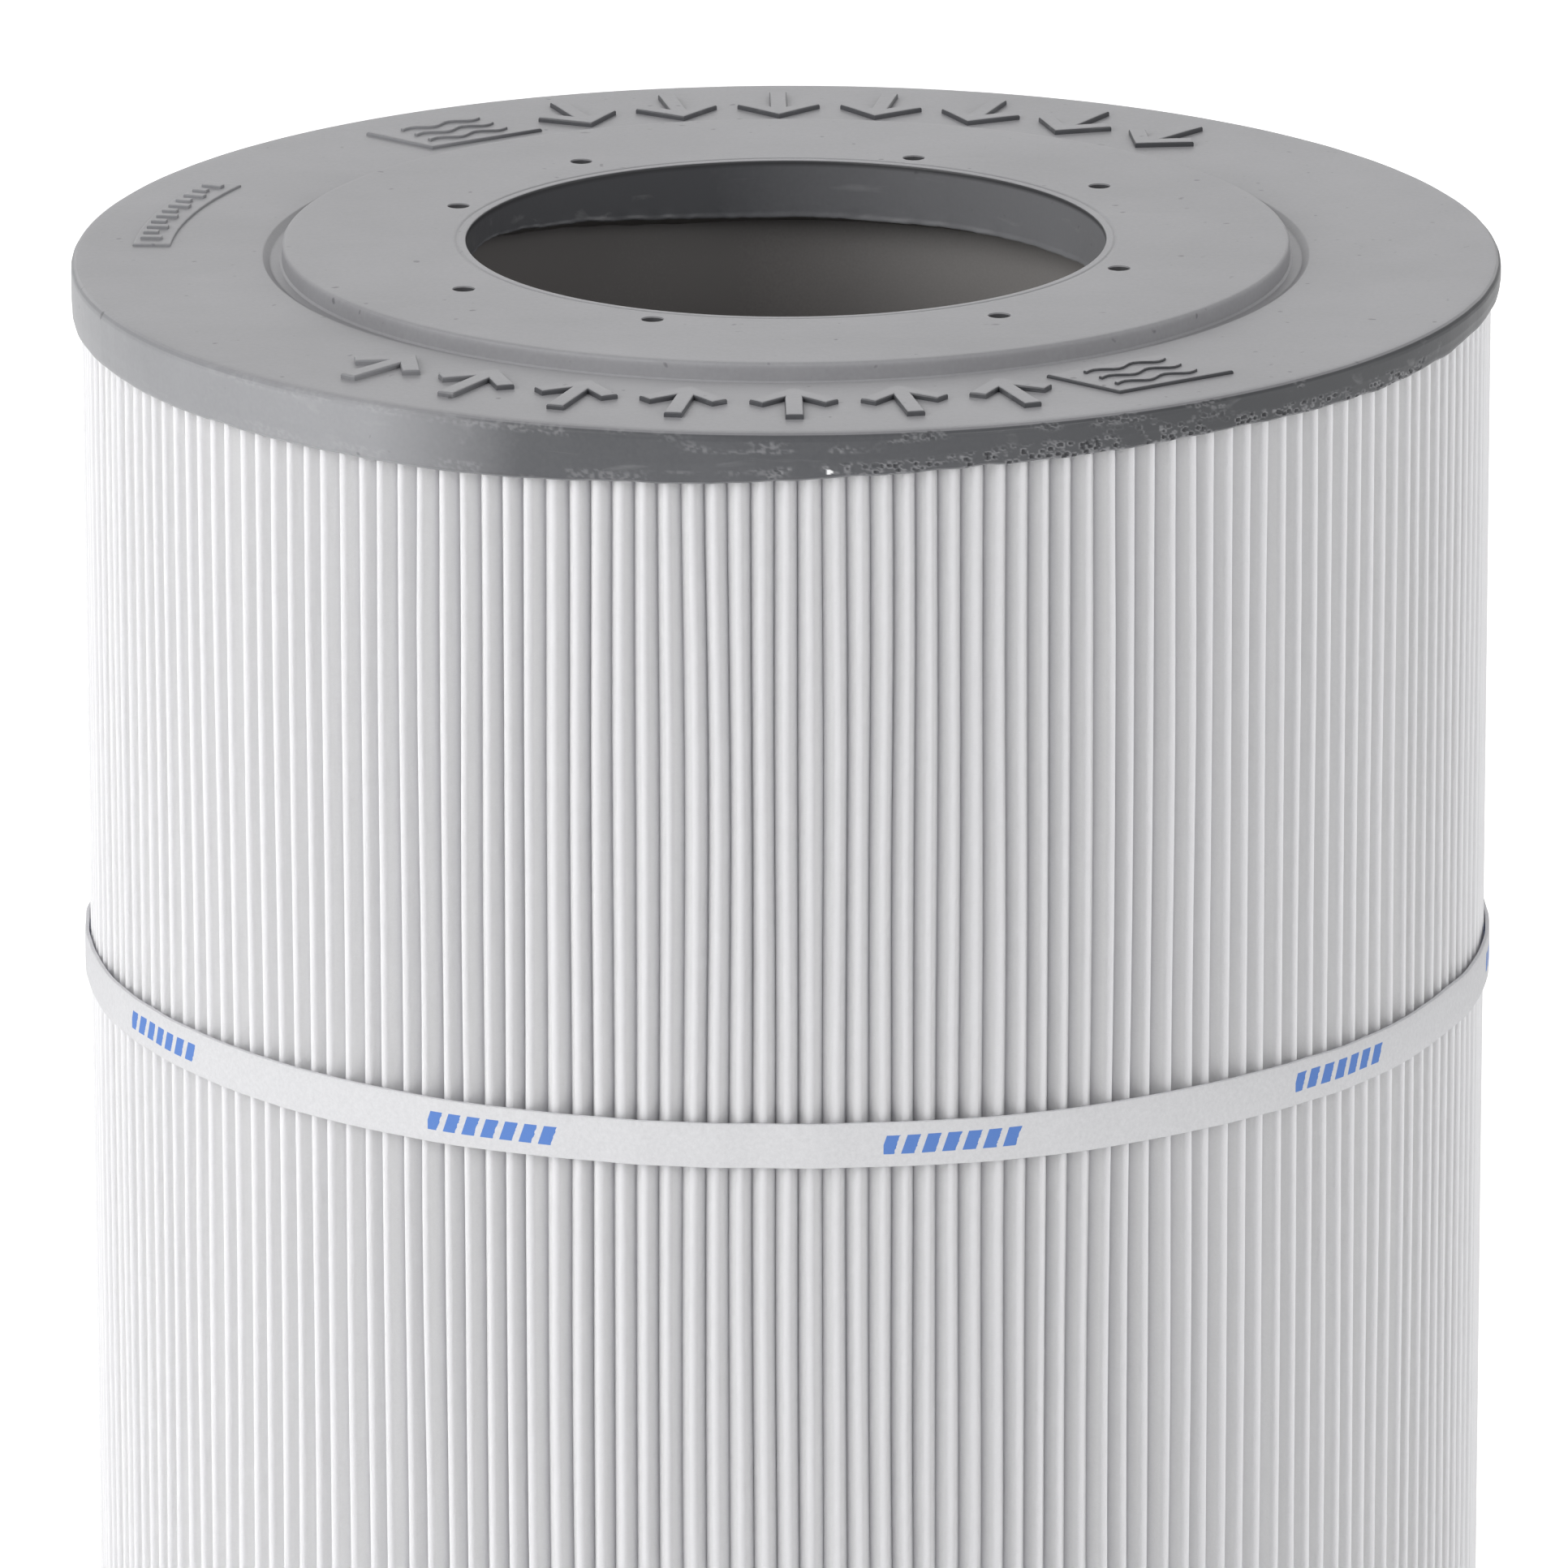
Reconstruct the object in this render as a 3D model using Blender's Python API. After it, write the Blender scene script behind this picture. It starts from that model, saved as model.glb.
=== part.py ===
"""Pleated filter cartridge for pool and spa equipment, built as an assembly of separate pieces.

Two moulded end caps hold a ring of pleated media and a stacked, perforated core between them.
Straps bind the pleats, and a hot-melt bead joins the two ends of the media.
Metres, +Z up. The origin is the centre of the lower cap's outer face.
"""

import math

import bmesh
import bpy
from mathutils import Matrix, Vector

MM = 0.001

# Overall sizes
CARTRIDGE_LENGTH = 590 * MM  # over the raised discs of both caps
CAP_DIAMETER = 227 * MM
PORT_DIAMETER = 101.6 * MM  # the hole through each cap
CLEARANCE = 0.3 * MM  # between pieces that seat against each other

# End cap
DISC_DIAMETER = 160 * MM  # the raised disc round the port
DISC_STEP = 2.3 * MM  # the disc above the ring round it
DISC_EDGE = 0.5 * MM
PORT_EDGE = 0.8 * MM
GROOVE_WIDTH = 3.1 * MM  # the groove at the foot of the disc
GROOVE_DEPTH = 1.2 * MM
GROOVE_BEVEL = 0.5 * MM
RING_THICKNESS = 3.7 * MM  # over the channel that holds the media
RIM_DEPTH = 9.4 * MM  # the ring's top down to the rim's lower edge
RIM_SHOULDER = 3.6 * MM
RIM_FOOT = 0.5 * MM
RIM_OVERHANG = 1.5 * MM  # the rim past the tips of the pleats
COLLAR_WALL = 6.2 * MM  # between the port and the core
COLLAR_DEPTH = 10.0 * MM  # the disc's top down to the collar's lower edge

# Holes that the mould's locating pins leave in the raised disc
PIN_HOLE_DIAMETER = 3.3 * MM
PIN_HOLE_DEPTH = 4.0 * MM
PIN_HOLES_PER_CIRCLE = 4
PIN_CIRCLES = ((5.6 * MM, 68.4), (9.6 * MM, 33.3))  # in from the port's wall, first angle in degrees

# Core: stacked sections with spigot joints
CORE_WALL = 3.0 * MM
CORE_SECTIONS = 4
SPIGOT_WALL = 1.2 * MM
SPIGOT_HEIGHT = 6.0 * MM
END_BAND = 27.0 * MM  # the plain band at each end of a section
WINDOW_ROWS = 3
WINDOW_COLUMNS = 12
HOOP_HEIGHT = 6.0 * MM  # between two rows of windows

# Pleated media
PLEAT_COUNT = 192
MEDIA_THICKNESS = 0.8 * MM
TIP_FOLD_WIDTH = 2.0 * MM  # over both layers at a pleat's outer tip
ROOT_FOLD_WIDTH = 1.2 * MM  # over both layers at its inner fold

# Hot-melt bead that joins the ends of the media, between two pleats at the back
BEAD_DEPTH = 8.0 * MM
BEAD_BELOW_TIPS = 3.0 * MM

# Straps round the pleats
STRAP_COUNT = 4
STRAP_HEIGHT = 7.1 * MM
STRAP_THICKNESS = 0.7 * MM
STRAP_FROM_END = 115.8 * MM  # the cap's face to the middle of the first strap

# How finely round shapes are divided
ROUND_SEGMENTS = 48
PIN_SEGMENTS = 12
SHOULDER_STEPS = 4
FACETS_PER_WINDOW = 2
FACETS_PER_BAR = 1
CORE_SEGMENTS = WINDOW_COLUMNS * (FACETS_PER_WINDOW + FACETS_PER_BAR)
SMOOTH_BELOW = math.radians(35)
MERGE = 0.001 * MM

# Sizes that follow from those above
cap_radius = CAP_DIAMETER / 2
port_radius = PORT_DIAMETER / 2
disc_radius = DISC_DIAMETER / 2
channel_roof = DISC_STEP + RING_THICKNESS  # below the cap's face
rim_foot = DISC_STEP + RIM_DEPTH
core_inner = port_radius + COLLAR_WALL
core_outer = core_inner + CORE_WALL
media_inner = core_outer + CLEARANCE
media_outer = cap_radius - RIM_OVERHANG
seat_height = channel_roof + CLEARANCE  # where the media and the core start, from a cap's face
seat_length = CARTRIDGE_LENGTH - 2 * seat_height


def clear_scene():
    for obj in list(bpy.data.objects):
        bpy.data.objects.remove(obj, do_unlink=True)


def around(radius, segments):
    """The corner radius of a polygon whose flat sides touch a circle of this radius from outside."""
    return radius / math.cos(math.pi / segments)


def within(radius, segments):
    """The distance from the axis to the flat sides of a polygon with this corner radius."""
    return radius * math.cos(math.pi / segments)


def polar(radius, angle, z=0.0):
    return Vector((radius * math.cos(angle), radius * math.sin(angle), z))


def material(name, colour, roughness):
    made = bpy.data.materials.new(name)
    made.use_nodes = True
    shader = made.node_tree.nodes["Principled BSDF"]
    shader.inputs["Base Color"].default_value = (*colour, 1.0)
    shader.inputs["Roughness"].default_value = roughness
    shader.inputs["Metallic"].default_value = 0.0
    return made


def add_piece(name, bm, finish, parent=None):
    """Turns a closed bmesh into an object, with its faces outwards."""
    bmesh.ops.remove_doubles(bm, verts=bm.verts, dist=MERGE)
    bmesh.ops.recalc_face_normals(bm, faces=bm.faces)
    mesh = bpy.data.meshes.new(name)
    bm.to_mesh(mesh)
    bm.free()
    mesh.shade_smooth()
    mesh.set_sharp_from_angle(angle=SMOOTH_BELOW)
    mesh.materials.append(finish)
    obj = bpy.data.objects.new(name, mesh)
    bpy.context.scene.collection.objects.link(obj)
    obj.parent = parent
    return obj


def spun(profile, segments):
    """A bmesh turned about Z from a closed outline of (radius, height) points."""
    bm = bmesh.new()
    corners = [bm.verts.new((radius, 0.0, z)) for radius, z in profile]
    edges = [bm.edges.new((a, b)) for a, b in zip(corners, corners[1:] + corners[:1])]
    bmesh.ops.spin(
        bm, geom=corners + edges, cent=(0, 0, 0), axis=(0, 0, 1), angle=2 * math.pi, steps=segments
    )
    bmesh.ops.remove_doubles(bm, verts=bm.verts, dist=MERGE)
    return bm


def cap_outline():
    """The cap's section: face at 0, the inside of the cartridge below it."""
    channel_inner = within(core_inner, CORE_SEGMENTS) - CLEARANCE
    channel_outer = around(media_outer + CLEARANCE, ROUND_SEGMENTS)
    groove_floor = DISC_STEP + GROOVE_DEPTH
    shoulder_centre = (cap_radius - RIM_SHOULDER, -DISC_STEP - RIM_SHOULDER)
    outline = [
        (port_radius, -PORT_EDGE),
        (port_radius + PORT_EDGE, 0.0),
        (disc_radius - DISC_EDGE, 0.0),
        (disc_radius, -DISC_EDGE),
        (disc_radius, -groove_floor),
        (disc_radius + GROOVE_WIDTH - GROOVE_BEVEL, -groove_floor),
        (disc_radius + GROOVE_WIDTH, -DISC_STEP),
    ]
    for step in range(SHOULDER_STEPS + 1):
        turn = math.pi / 2 * (1 - step / SHOULDER_STEPS)
        outline.append(
            (
                shoulder_centre[0] + RIM_SHOULDER * math.cos(turn),
                shoulder_centre[1] + RIM_SHOULDER * math.sin(turn),
            )
        )
    outline += [
        (cap_radius, -rim_foot + RIM_FOOT),
        (cap_radius - RIM_FOOT, -rim_foot),
        (channel_outer, -rim_foot),
        (channel_outer, -channel_roof),
        (channel_inner, -channel_roof),
        (channel_inner, -COLLAR_DEPTH),
        (port_radius, -COLLAR_DEPTH),
    ]
    return outline


def pin_hole_cutter():
    """All the pin holes of one cap, as one hidden cutter that reaches past the cap's face."""
    bm = bmesh.new()
    for from_port, first in PIN_CIRCLES:
        for k in range(PIN_HOLES_PER_CIRCLE):
            angle = math.radians(first) + 2 * math.pi * k / PIN_HOLES_PER_CIRCLE
            bmesh.ops.create_cone(
                bm,
                cap_ends=True,
                segments=PIN_SEGMENTS,
                radius1=PIN_HOLE_DIAMETER / 2,
                radius2=PIN_HOLE_DIAMETER / 2,
                depth=2 * PIN_HOLE_DEPTH,
                matrix=Matrix.Translation(polar(port_radius + from_port, angle)),
            )
    mesh = bpy.data.meshes.new("pin_hole_cutter")
    bm.to_mesh(mesh)
    bm.free()
    cutter = bpy.data.objects.new("pin_hole_cutter", mesh)
    bpy.context.scene.collection.objects.link(cutter)
    cutter.hide_render = True
    cutter.display_type = "WIRE"
    return cutter


def end_cap(name, finish, parent, height, turn):
    """A moulded cap with its face at this height, turned about X so that the face looks outwards."""
    cap = add_piece(name, spun(cap_outline(), ROUND_SEGMENTS), finish, parent)
    cap.location.z = height
    cap.rotation_euler.x = turn
    cutter = pin_hole_cutter()
    cutter.parent = cap
    cut = cap.modifiers.new("pin_holes", "BOOLEAN")
    cut.operation = "DIFFERENCE"
    cut.object = cutter
    return cap


def core_outline(length, windows, socket, spigot):
    """A core section's section outline, with a corner at the edge of each row of windows."""
    spigot_outer = core_inner + SPIGOT_WALL
    socket_inner = spigot_outer + CLEARANCE
    levels = [z for row in windows for z in row]
    outline = [(core_outer, 0.0)]
    outline += [(core_outer, z) for z in levels]
    outline.append((core_outer, length))
    if spigot:
        outline += [
            (spigot_outer, length),
            (spigot_outer, length + SPIGOT_HEIGHT),
            (core_inner, length + SPIGOT_HEIGHT),
        ]
    else:
        outline.append((core_inner, length))
    outline += [(core_inner, z) for z in reversed(levels)]
    if socket:
        outline += [
            (core_inner, SPIGOT_HEIGHT),
            (socket_inner, SPIGOT_HEIGHT),
            (socket_inner, 0.0),
        ]
    else:
        outline.append((core_inner, 0.0))
    return outline


def open_windows(bm, windows):
    """Takes out the facets of each window on both skins, and closes the wall round the opening."""
    pitch = 2 * math.pi / CORE_SEGMENTS
    step = FACETS_PER_WINDOW + FACETS_PER_BAR
    skins = {}
    for face in bm.faces:
        centre = face.calc_center_median()
        if abs(face.normal.z) > 0.5:
            continue
        column, facet = divmod(int(math.atan2(centre.y, centre.x) % (2 * math.pi) / pitch), step)
        row = next((k for k, (low, high) in enumerate(windows) if low < centre.z < high), None)
        if facet >= FACETS_PER_WINDOW or row is None:
            continue
        skin = math.hypot(centre.x, centre.y) > core_inner + CORE_WALL / 2
        skins.setdefault((column, row), {}).setdefault(skin, []).append(face)
    for pair in skins.values():
        rims = []
        for faces in pair.values():
            edges = [edge for face in faces for edge in face.edges]
            rims += [edge for edge in set(edges) if edges.count(edge) == 1]
            bmesh.ops.delete(bm, geom=faces, context="FACES_KEEP_BOUNDARY")
        rims.sort(key=lambda edge: (edge.verts[0].co + edge.verts[1].co).to_tuple(6))
        bmesh.ops.bridge_loops(bm, edges=rims)


def core_section(number, finish, parent):
    """One moulded section of the core: a cage with a socket below and a spigot above."""
    pitch = (seat_length + CLEARANCE) / CORE_SECTIONS
    length = pitch - CLEARANCE
    open_height = length - 2 * END_BAND - (WINDOW_ROWS - 1) * HOOP_HEIGHT
    window_height = open_height / WINDOW_ROWS
    windows = []
    for row in range(WINDOW_ROWS):
        low = END_BAND + row * (window_height + HOOP_HEIGHT)
        windows.append((low, low + window_height))
    bm = spun(
        core_outline(length, windows, socket=number > 1, spigot=number < CORE_SECTIONS),
        CORE_SEGMENTS,
    )
    bm.normal_update()
    open_windows(bm, windows)
    section = add_piece(f"core_section_{number}", bm, finish, parent)
    section.location.z = seat_height + (number - 1) * pitch
    return section


def pleat_corners(index):
    """The corners of one pleat seen from above: outer skin, then inner skin."""
    half = math.pi / PLEAT_COUNT
    middle = 2 * half * index
    tip = TIP_FOLD_WIDTH / 2 / media_outer
    root = ROOT_FOLD_WIDTH / 2 / media_inner
    outer = [
        polar(media_outer, middle - tip),
        polar(media_outer, middle + tip),
        polar(media_inner + MEDIA_THICKNESS, middle + half),
    ]
    inner = [
        polar(media_outer - MEDIA_THICKNESS, middle),
        polar(media_inner, middle + half - root),
        polar(media_inner, middle + half + root),
    ]
    return outer, inner


def pleated_media(finish, parent):
    """The folded sheet as one closed ring of pleats, extruded over the length between the caps."""
    bm = bmesh.new()
    skins = []
    for index in range(PLEAT_COUNT):
        skins.append([[bm.verts.new(corner) for corner in skin] for skin in pleat_corners(index)])
    floor = []
    for index, (outer, inner) in enumerate(skins):
        next_outer, next_inner = skins[(index + 1) % PLEAT_COUNT]
        left_tip, right_tip, valley = outer
        inside_tip, root_left, root_right = inner
        floor += [
            bm.faces.new((left_tip, right_tip, inside_tip)),
            bm.faces.new((right_tip, valley, root_left, inside_tip)),
            bm.faces.new((valley, root_right, root_left)),
            bm.faces.new((valley, next_outer[0], next_inner[0], root_right)),
        ]
    lifted = bmesh.ops.extrude_face_region(bm, geom=floor, use_keep_orig=True)["geom"]
    bmesh.ops.translate(
        bm,
        verts=[item for item in lifted if isinstance(item, bmesh.types.BMVert)],
        vec=(0, 0, seat_length),
    )
    media = add_piece("pleated_media", bm, finish, parent)
    media.location.z = seat_height
    return media


def valley_half_gap(radius):
    """Half the gap between two neighbouring pleats, on their outer side, at this radius."""
    at_tips = math.pi * media_outer / PLEAT_COUNT - TIP_FOLD_WIDTH / 2
    root = media_inner + MEDIA_THICKNESS
    return at_tips * (radius - root) / (media_outer - root)


def media_seam_bead(finish, parent):
    """A strip of hot-melt in the valley nearest the back, tapering with the gap it fills."""
    outside = media_outer - BEAD_BELOW_TIPS
    inside = outside - BEAD_DEPTH
    angle = 2 * math.pi / PLEAT_COUNT * (PLEAT_COUNT // 4 + 0.5)
    along = polar(1, angle)
    across = polar(1, angle + math.pi / 2)
    bm = bmesh.new()
    corners = []
    for radius, side in ((inside, -1), (outside, -1), (outside, 1), (inside, 1)):
        reach = side * (valley_half_gap(radius) - CLEARANCE)
        corners.append(bm.verts.new(along * radius + across * reach))
    lifted = bmesh.ops.extrude_face_region(
        bm, geom=[bm.faces.new(corners)], use_keep_orig=True
    )["geom"]
    bmesh.ops.translate(
        bm,
        verts=[item for item in lifted if isinstance(item, bmesh.types.BMVert)],
        vec=(0, 0, seat_length),
    )
    bead = add_piece("media_seam_bead", bm, finish, parent)
    bead.location.z = seat_height
    return bead


def strap(number, finish, parent):
    """A woven band round the tips of the pleats."""
    inner = around(media_outer + CLEARANCE, ROUND_SEGMENTS)
    outer = inner + STRAP_THICKNESS
    half = STRAP_HEIGHT / 2
    band = spun(
        [(outer, half), (outer, -half), (inner, -half), (inner, half)], ROUND_SEGMENTS
    )
    made = add_piece(f"strap_{number}", band, finish, parent)
    spacing = (CARTRIDGE_LENGTH - 2 * STRAP_FROM_END) / (STRAP_COUNT - 1)
    made.location.z = STRAP_FROM_END + (number - 1) * spacing
    return made


def build():
    clear_scene()
    urethane = material("cast_urethane", (0.27, 0.27, 0.28), 0.5)
    polyester = material("pleated_polyester", (0.86, 0.86, 0.87), 0.9)
    webbing = material("strap_webbing", (0.80, 0.80, 0.82), 0.85)
    moulded = material("core_plastic", (0.16, 0.155, 0.155), 0.5)
    hot_melt = material("hot_melt", (0.78, 0.74, 0.64), 0.4)

    axis = bpy.data.objects.new("cartridge_axis", None)
    bpy.context.scene.collection.objects.link(axis)

    end_cap("bottom_end_cap", urethane, axis, height=0.0, turn=math.pi)
    end_cap("top_end_cap", urethane, axis, height=CARTRIDGE_LENGTH, turn=0.0)
    pleated_media(polyester, axis)
    media_seam_bead(hot_melt, axis)
    for number in range(1, CORE_SECTIONS + 1):
        core_section(number, moulded, axis)
    for number in range(1, STRAP_COUNT + 1):
        strap(number, webbing, axis)


build()
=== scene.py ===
"""Looks of a pleated filter cartridge: cast end caps, folded media, printed straps and a moulded core."""

import math

import bpy
import numpy as np
from mathutils import Matrix, Vector, noise


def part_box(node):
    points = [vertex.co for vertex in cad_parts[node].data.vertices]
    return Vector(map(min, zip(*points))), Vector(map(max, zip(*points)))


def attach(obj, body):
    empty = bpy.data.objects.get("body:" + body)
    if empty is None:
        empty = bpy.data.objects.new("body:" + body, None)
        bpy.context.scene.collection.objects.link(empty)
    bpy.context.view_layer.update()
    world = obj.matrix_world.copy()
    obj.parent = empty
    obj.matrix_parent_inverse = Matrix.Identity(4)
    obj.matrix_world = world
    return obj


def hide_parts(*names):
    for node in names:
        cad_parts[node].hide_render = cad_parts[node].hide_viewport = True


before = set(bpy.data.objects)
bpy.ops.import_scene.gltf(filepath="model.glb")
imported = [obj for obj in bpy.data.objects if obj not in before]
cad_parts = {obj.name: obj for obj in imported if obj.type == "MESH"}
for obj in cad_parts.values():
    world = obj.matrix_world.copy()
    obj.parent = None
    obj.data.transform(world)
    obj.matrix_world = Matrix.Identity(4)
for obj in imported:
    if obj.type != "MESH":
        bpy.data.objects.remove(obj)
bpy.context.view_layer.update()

MM = 0.001

# Read from the frame
top_cap_low, top_cap_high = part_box("top_end_cap")
media_low, media_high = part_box("pleated_media")
core_low, core_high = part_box("core_section_4")
bead_low, bead_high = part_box("media_seam_bead")

LENGTH = top_cap_high.z
CAP_RADIUS = top_cap_high.x
CAP_DEPTH = LENGTH - top_cap_low.z
MEDIA_RADIUS = media_high.x
CORE_RADIUS = core_high.x

# End cap
PORT_RADIUS = 50.8 * MM
PORT_EDGE = 0.35 * MM
DISC_RADIUS = 80.0 * MM
DISC_STEP = 2.3 * MM
DISC_EDGE = 0.7 * MM
GROOVE_WIDTH = 3.1 * MM
GROOVE_DEPTH = 0.8 * MM
SHOULDER = 1.3 * MM
RIM_FOOT = 0.9 * MM
FILM_ROW = 9.0 * MM  # the outline's depth where the resin film ends, before it is made uneven
FILM_STEP = 0.3 * MM  # the bare wall below the film, out from the port's radius
POTTING_DEPTH = 1.4 * MM  # how far the rim's edge hangs below the resin between the pleats
LEAST_POTTING = 6.8 * MM  # below the cap's face, so that the resin covers the ends of the pleats
CAP_SEGMENTS = 432
FLARE_RADIUS = CORE_RADIUS - 2.85 * MM  # below the film the wall widens out to the core's bore
SCARRED = (-60, 84)  # the part of the rim with bubbles and scuffs, in degrees from the front

# Uneven edges of the cast resin, in mm, by angle in degrees from the front towards +X
RIM_REACH = (  # below the ring's top
    (-180, 7.2), (-130, 9.0), (-80, 9.3), (-24, 9.35), (-8, 8.3), (8, 7.0), (16, 6.25), (40, 5.85),
    (64, 5.6), (76, 4.9), (95, 5.0), (180, 7.2),
)
FILM_REACH = (  # below the cap's face
    (-180, 9.5), (-164, 9.3), (-156, 8.8), (-148, 8.0), (-140, 7.2), (-132, 6.6), (-124, 5.8),
    (-112, 4.8), (-80, 5.5), (-40, 8.0), (40, 8.6), (100, 9.2), (130, 9.5), (180, 9.5),
)

PIN_HOLE_RADIUS = 1.8 * MM
PIN_HOLE_DEPTH = 4.0 * MM
PIN_CIRCLES = ((56.4 * MM, 68.4), (60.4 * MM, 33.3))  # radius, first hole's angle in degrees

# Core
CORE_WALL = 3.0 * MM
CORE_SEGMENTS = 144
WINDOW_COLUMNS = 12
WINDOW_FACETS = 8
WINDOW_ROWS = 3
END_BAND = 27.0 * MM
HOOP_HEIGHT = 6.0 * MM
SPIGOT_WALL = 1.2 * MM
SPIGOT_HEIGHT = 6.0 * MM
FIT_GAP = 0.3 * MM

# Media
PLEATS = 192
TIP_HALF_WIDTH = 0.62 * MM
TOUCH_DEPTH = 2.7 * MM  # below the tips, where neighbouring pleats touch
TOUCH_GAP = 0.07 * MM
SHEET_THICKNESS = 0.7 * MM
MEDIA_ROWS = 37

# Straps
STRAPS = [f"strap_{number}" for number in range(1, 5)]
STRAP_THICKNESS = 0.6 * MM
PRINT_PITCH = math.radians(37) * MEDIA_RADIUS


# ---------------------------------------------------------------- modelling helpers


def deselect_all():
    if bpy.context.mode != "OBJECT":
        bpy.ops.object.mode_set(mode="OBJECT")
    bpy.ops.object.select_all(action="DESELECT")


def only(piece):
    """Makes this piece the one that operators act on."""
    deselect_all()
    piece.select_set(True)
    bpy.context.view_layer.objects.active = piece


def apply_modifiers(piece):
    only(piece)
    for modifier in list(piece.modifiers):
        bpy.ops.object.modifier_apply(modifier=modifier.name)


def settle(piece):
    """Puts the piece's place into its mesh, so that its object is at the origin, unturned."""
    only(piece)
    bpy.ops.object.transform_apply(location=True, rotation=True, scale=True)


def face_outwards(piece):
    only(piece)
    bpy.ops.object.mode_set(mode="EDIT")
    bpy.ops.mesh.select_all(action="SELECT")
    bpy.ops.mesh.remove_doubles(threshold=0.001 * MM)
    bpy.ops.mesh.normals_make_consistent(inside=False)
    bpy.ops.object.mode_set(mode="OBJECT")


def smooth(piece, degrees=32):
    only(piece)
    bpy.ops.object.shade_smooth_by_angle(angle=math.radians(degrees))


def arc(centre_radius, centre_height, radius, start, end, steps):
    """Points of (radius, height) round a fillet, from one angle in degrees to another."""
    points = []
    for step in range(steps + 1):
        turn = math.radians(start + (end - start) * step / steps)
        points.append(
            (centre_radius + radius * math.cos(turn), centre_height + radius * math.sin(turn))
        )
    return points


def turned(name, outline, segments):
    """A ring of edges extruded along an outline of (radius, height), its end bridged to its start."""
    deselect_all()
    radius, height = outline[0]
    bpy.ops.mesh.primitive_circle_add(vertices=segments, radius=radius, location=(0, 0, height))
    piece = bpy.context.object
    piece.name = piece.data.name = name
    settle(piece)
    bpy.ops.object.mode_set(mode="EDIT")
    bpy.ops.mesh.select_mode(type="EDGE")
    bpy.ops.mesh.select_all(action="SELECT")
    for next_radius, next_height in outline[1:]:
        bpy.ops.mesh.extrude_edges_move(TRANSFORM_OT_translate={"value": (0, 0, next_height - height)})
        grow = next_radius / radius
        bpy.ops.transform.resize(value=(grow, grow, 1), center_override=(0, 0, 0))
        radius, height = next_radius, next_height
    bpy.ops.mesh.select_all(action="DESELECT")
    bpy.ops.mesh.select_non_manifold()
    bpy.ops.mesh.bridge_edge_loops()
    bpy.ops.object.mode_set(mode="OBJECT")
    face_outwards(piece)
    return piece


def move_points(piece, shift):
    """Moves each vertex by what shift(point) gives."""
    mesh = piece.data
    for vertex in mesh.vertices:
        vertex.co += shift(vertex.co)
    mesh.update()


def polar(radius, angle, z=0.0):
    return Vector((radius * math.cos(angle), radius * math.sin(angle), z))


def wander(angle, lobes, seed):
    """Smooth unevenness round a circle, about -1 to 1, with features about 1/lobes of the way round."""
    spot = Vector((math.cos(angle), math.sin(angle), 0)) * lobes / 2
    return 2 * noise.noise(spot + Vector((0, 0, seed)))


def ease(value):
    value = min(max(value, 0.0), 1.0)
    return value * value * (3 - 2 * value)


def finish_piece(piece, slot, material, *nodes):
    piece.data.materials.clear()
    piece.data.materials.append(material)
    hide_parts(*nodes)
    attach(piece, "root")


# ---------------------------------------------------------------- shader helpers


class Nodes:
    """Short ways to add and join the nodes of one tree."""

    def __init__(self, tree):
        self.tree = tree

    def add(self, kind, inputs=None, **settings):
        node = self.tree.nodes.new(kind)
        for name, value in settings.items():
            setattr(node, name, value)
        for name, value in (inputs or {}).items():
            self.feed(node.inputs[name], value)
        return node

    def feed(self, socket, value):
        if isinstance(value, bpy.types.NodeSocket):
            self.tree.links.new(value, socket)
        else:
            socket.default_value = value

    def math(self, operation, a, b=0.0, c=0.0, clamp=False):
        node = self.add("ShaderNodeMath", operation=operation, use_clamp=clamp)
        for socket, value in zip(node.inputs, (a, b, c)):
            self.feed(socket, value)
        return node.outputs[0]

    def mix(self, factor, a, b):
        node = self.add("ShaderNodeMix", data_type="RGBA")
        for socket, value in ((node.inputs[0], factor), (node.inputs[6], a), (node.inputs[7], b)):
            self.feed(socket, value)
        return node.outputs[2]

    def remap(self, value, low, high, to_low=0.0, to_high=1.0):
        return self.add(
            "ShaderNodeMapRange",
            {"Value": value, "From Min": low, "From Max": high, "To Min": to_low, "To Max": to_high},
        ).outputs[0]


def new_material(name):
    """An empty material with its node helper, its Principled BSDF and its Object coordinates."""
    made = bpy.data.materials.new(name)
    made.use_nodes = True
    shader = made.node_tree.nodes["Principled BSDF"]
    nodes = Nodes(made.node_tree)
    place = nodes.add("ShaderNodeTexCoord").outputs["Object"]
    return made, nodes, shader, place


def new_group(name, inputs, outputs):
    """A shader node group with these named sockets: (name, kind, default) in, (name, kind) out."""
    tree = bpy.data.node_groups.new(name, "ShaderNodeTree")
    for socket, kind, default in inputs:
        made = tree.interface.new_socket(name=socket, in_out="INPUT", socket_type=f"NodeSocket{kind}")
        if default is not None:
            made.default_value = default
    for socket, kind in outputs:
        tree.interface.new_socket(name=socket, in_out="OUTPUT", socket_type=f"NodeSocket{kind}")
    nodes = Nodes(tree)
    return nodes, nodes.add("NodeGroupInput").outputs, nodes.add("NodeGroupOutput").inputs


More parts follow.
